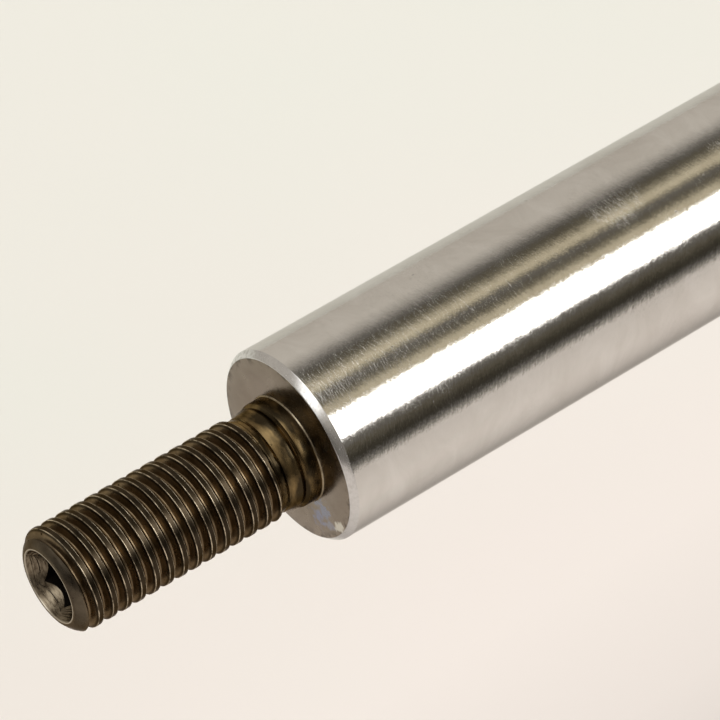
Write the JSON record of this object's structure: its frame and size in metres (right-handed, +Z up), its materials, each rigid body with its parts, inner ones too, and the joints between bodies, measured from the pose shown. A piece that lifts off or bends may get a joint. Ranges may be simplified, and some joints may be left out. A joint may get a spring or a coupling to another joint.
{
  "type": "ball screw assembly",
  "caption": "Ball screw assembly: flanged support unit, screw, flanged ball nut and a hollow ground thrust rod that ends in a threaded stud.",
  "frame": {"origin": "centre of the support flange's seating face, on the screw axis", "axes": "X along the screw axis, drive journal towards +X and rod stud towards -X; +Z up, through the ball nut's return tube"},
  "size_m": [0.3515, 0.0578, 0.052],
  "materials": {
    "chromed_rod": "ground and polished hard chrome with fine lay marks round the rod",
    "bronzed_steel": "dark brown oxide over machined steel, bright on the thread crests",
    "nut_steel": "turned and ground steel",
    "screw_steel": "rolled screw with ground lands and polished groove",
    "bearing_steel": "polished bearing steel",
    "black_oxide": "black oxide on machined steel",
    "fastener_steel": "black oxide fasteners with a light oil film",
    "brass": "machined brass",
    "wiper_plastic": "moulded engineering plastic",
    "seal_rubber": "matt nitrile rubber"
  },
  "bodies": {
    "support": {"bearing_housing": "black_oxide", "bearing_cover": "black_oxide", "cover_screws": "fastener_steel", "front_outer_ring": "bearing_steel", "rear_outer_ring": "bearing_steel", "front_seal": "seal_rubber", "rear_seal": "seal_rubber"},
    "screw": {"screw_shaft": "screw_steel", "guide_bush": "wiper_plastic", "guide_bush_circlip": "fastener_steel", "front_collar": "nut_steel", "rear_collar": "nut_steel", "front_inner_ring": "bearing_steel", "rear_inner_ring": "bearing_steel", "lock_nut": "black_oxide", "lock_nut_set_screws": "fastener_steel", "lock_nut_pads": "brass"},
    "rod": {"thrust_rod": "chromed_rod", "rod_end_stud": "bronzed_steel", "rod_adapter": "black_oxide", "adapter_screws": "fastener_steel", "adapter_set_screws": "fastener_steel", "ball_nut": "nut_steel", "nut_balls": "bearing_steel", "return_tube": "bearing_steel", "tube_clamp": "nut_steel", "tube_clamp_screws": "fastener_steel", "front_wiper": "wiper_plastic", "rear_wiper": "wiper_plastic", "wiper_set_screws": "fastener_steel", "grease_nipple": "brass"},
    "front_cage_set": {"front_cage": "brass", "front_bearing_balls": "bearing_steel"},
    "rear_cage_set": {"rear_cage": "brass", "rear_bearing_balls": "bearing_steel"}
  },
  "joints": [
    {"name": "rod_travel", "type": "slide", "parent": "support", "child": "rod", "axis": [-1, 0, 0], "range_m": [-0.05, 0.05]},
    {"name": "screw_spin", "type": "hinge", "parent": "support", "child": "screw", "pos_m": [0, 0, 0], "axis": [1, 0, 0], "range_deg": [-1801, 1801]},
    {"name": "front_cage_spin", "type": "hinge", "parent": "support", "child": "front_cage_set", "pos_m": [-0.002, 0, 0], "axis": [1, 0, 0], "range_deg": [-716, 716]},
    {"name": "rear_cage_spin", "type": "hinge", "parent": "support", "child": "rear_cage_set", "pos_m": [0.006, 0, 0], "axis": [1, 0, 0], "range_deg": [-716, 716]}
  ],
  "couplings": [
    {"joint": "screw_spin", "follows": "rod_travel", "rad_per_m": 628.32},
    {"joint": "front_cage_spin", "follows": "rod_travel", "rad_per_m": 249.44},
    {"joint": "rear_cage_spin", "follows": "rod_travel", "rad_per_m": 249.44}
  ]
}
